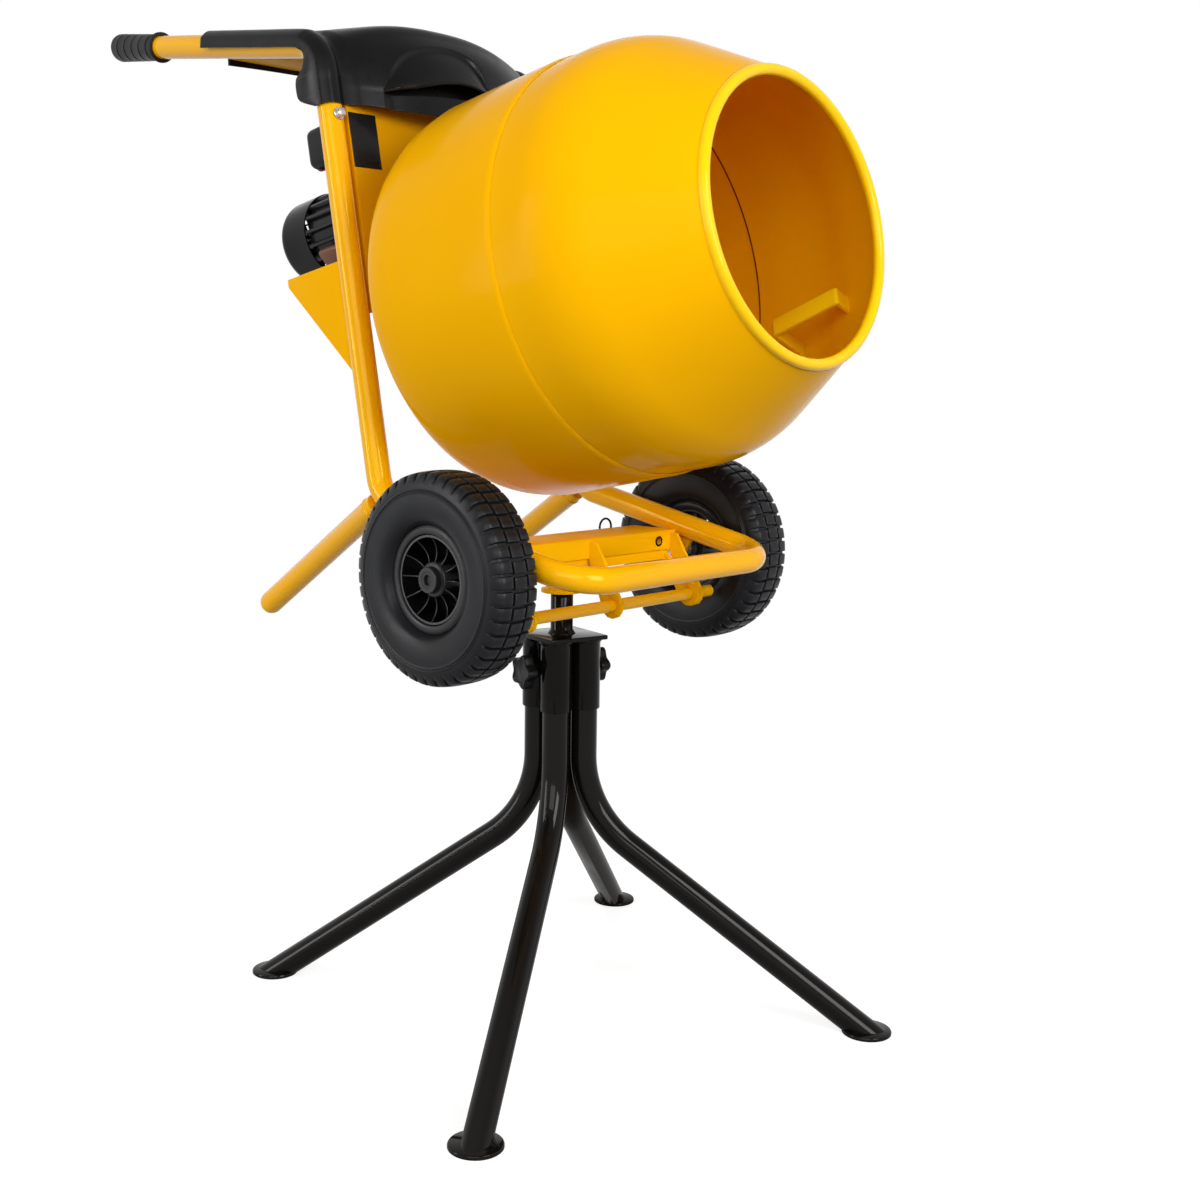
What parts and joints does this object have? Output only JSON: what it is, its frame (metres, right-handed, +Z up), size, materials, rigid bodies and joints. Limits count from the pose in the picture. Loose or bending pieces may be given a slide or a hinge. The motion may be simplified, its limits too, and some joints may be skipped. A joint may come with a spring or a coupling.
{
  "type": "concrete mixer",
  "caption": "Tip-up concrete mixer: open steel drum on a wheeled tube frame with gear drive and motor, tilting and swivelling on a four-legged stand.",
  "frame": {"origin": "middle of the footprint box, on the floor", "axes": "+Z up, +X toward the drum's mouth, +Y to the machine's left"},
  "size_m": [1.1564, 0.7904, 1.3621],
  "materials": {
    "yellow_paint": "glossy yellow enamel",
    "inner_paint": "yellow enamel, less glossy",
    "gloss_black_paint": "glossy black paint",
    "moulded_black": "satin black moulding",
    "rubber_black": "matt black rubber",
    "tyre_black": "matt black tyre rubber",
    "plated_steel": "zinc-plated steel",
    "dark_casting": "black painted casting",
    "motor_black": "black painted aluminium",
    "amber_plastic": "brown moulded plastic",
    "green_button": "green button",
    "red_button": "red button"
  },
  "bodies": {
    "stand": {"stand_head": "gloss_black_paint", "stand_leg_front": "gloss_black_paint", "stand_leg_left": "gloss_black_paint", "stand_leg_rear": "gloss_black_paint", "stand_leg_right": "gloss_black_paint"},
    "knob_left": {"clamp_knob_left": "moulded_black"},
    "knob_right": {"clamp_knob_right": "moulded_black"},
    "saddle_body": {"saddle": "yellow_paint"},
    "lock": {"lock_pin": "gloss_black_paint", "lock_ring": "gloss_black_paint"},
    "frame": {"main_frame": "yellow_paint", "rest_foot_left": "yellow_paint", "rest_foot_right": "yellow_paint", "cross_angle": "yellow_paint", "pivot_rod": "yellow_paint", "axle_bracket_left": "yellow_paint", "axle_bracket_right": "yellow_paint", "stub_axle_left": "plated_steel", "stub_axle_right": "plated_steel", "grip_left": "rubber_black", "grip_right": "rubber_black", "hood": "moulded_black", "handle_brace": "yellow_paint", "guard_left": "yellow_paint", "guard_right": "yellow_paint", "frame_bolt_left": "plated_steel", "frame_bolt_right": "plated_steel", "switch_box": "moulded_black", "gear_front_plate": "yellow_paint", "gear_case": "yellow_paint", "drum_bearing": "dark_casting", "counter_bush_front": "plated_steel", "counter_bush_rear": "plated_steel", "motor_front_bell": "motor_black", "motor_body": "motor_black", "fan_cover": "moulded_black", "terminal_box": "motor_black", "run_capacitor": "amber_plastic"},
    "drum": {"drum_front_shell": "yellow_paint", "drum_bowl": "yellow_paint", "drum_mouth_ring": "yellow_paint", "drum_hub": "dark_casting", "drum_shaft": "plated_steel", "drum_gear": "dark_casting", "paddle_lower": "inner_paint", "paddle_upper": "inner_paint"},
    "counter": {"counter_shaft": "plated_steel", "counter_gear": "dark_casting"},
    "rotor": {"rotor_shaft": "plated_steel", "cooling_fan": "moulded_black"},
    "wheel_left": {"tyre_left": "tyre_black", "rim_left": "moulded_black", "wheel_spider_left": "moulded_black"},
    "wheel_right": {"tyre_right": "tyre_black", "rim_right": "moulded_black", "wheel_spider_right": "moulded_black"},
    "button_on": {"switch_button_on": "green_button"},
    "button_off": {"switch_button_off": "red_button"}
  },
  "joints": [
    {"name": "knob_left_turn", "type": "hinge", "parent": "stand", "child": "knob_left", "pos_m": [0.18022, 0, 0.471], "axis": [0.2504, 0.9681, 0], "range_deg": [0, 270]},
    {"name": "knob_right_turn", "type": "hinge", "parent": "stand", "child": "knob_right", "pos_m": [0.18022, 0, 0.471], "axis": [-0.2504, -0.9681, 0], "range_deg": [0, 270]},
    {"name": "swivel", "type": "hinge", "parent": "stand", "child": "saddle_body", "pos_m": [0.18022, 0, 0.6], "axis": [0, 0, 1], "continuous": true},
    {"name": "lock_slide", "type": "slide", "parent": "saddle_body", "child": "lock", "axis": [1, 0, 0], "range_m": [0, 0.009]},
    {"name": "tip", "type": "hinge", "parent": "saddle_body", "child": "frame", "pos_m": [0.27022, 0, 0.565], "axis": [0, 1, 0], "range_deg": [0, 75]},
    {"name": "drum_turn", "type": "hinge", "parent": "frame", "child": "drum", "pos_m": [-0.01078, 0, 0.9334], "axis": [0.9813, 0, 0.1925], "continuous": true},
    {"name": "counter_turn", "type": "hinge", "parent": "frame", "child": "counter", "pos_m": [-0.02659, -0.02002, 1.01398], "axis": [0.9813, 0, 0.1925], "continuous": true},
    {"name": "rotor_turn", "type": "hinge", "parent": "frame", "child": "rotor", "pos_m": [-0.0424, -0.04004, 1.09457], "axis": [0.9813, 0, 0.1925], "continuous": true},
    {"name": "wheel_left_turn", "type": "hinge", "parent": "frame", "child": "wheel_left", "pos_m": [0.21822, 0.2475, 0.619], "axis": [0, 1, 0], "continuous": true},
    {"name": "wheel_right_turn", "type": "hinge", "parent": "frame", "child": "wheel_right", "pos_m": [0.21822, -0.2475, 0.619], "axis": [0, 1, 0], "continuous": true},
    {"name": "button_on_push", "type": "slide", "parent": "frame", "child": "button_on", "axis": [0.9813, 0, 0.1925], "range_m": [0, 0.004], "stiffness_N_per_m": 600, "springref_m": -0.002},
    {"name": "button_off_push", "type": "slide", "parent": "frame", "child": "button_off", "axis": [0.9813, 0, 0.1925], "range_m": [0, 0.004], "stiffness_N_per_m": 600, "springref_m": -0.002}
  ],
  "couplings": [
    {"joint": "counter_turn", "follows": "drum_turn", "ratio": -6},
    {"joint": "rotor_turn", "follows": "drum_turn", "ratio": 36}
  ]
}
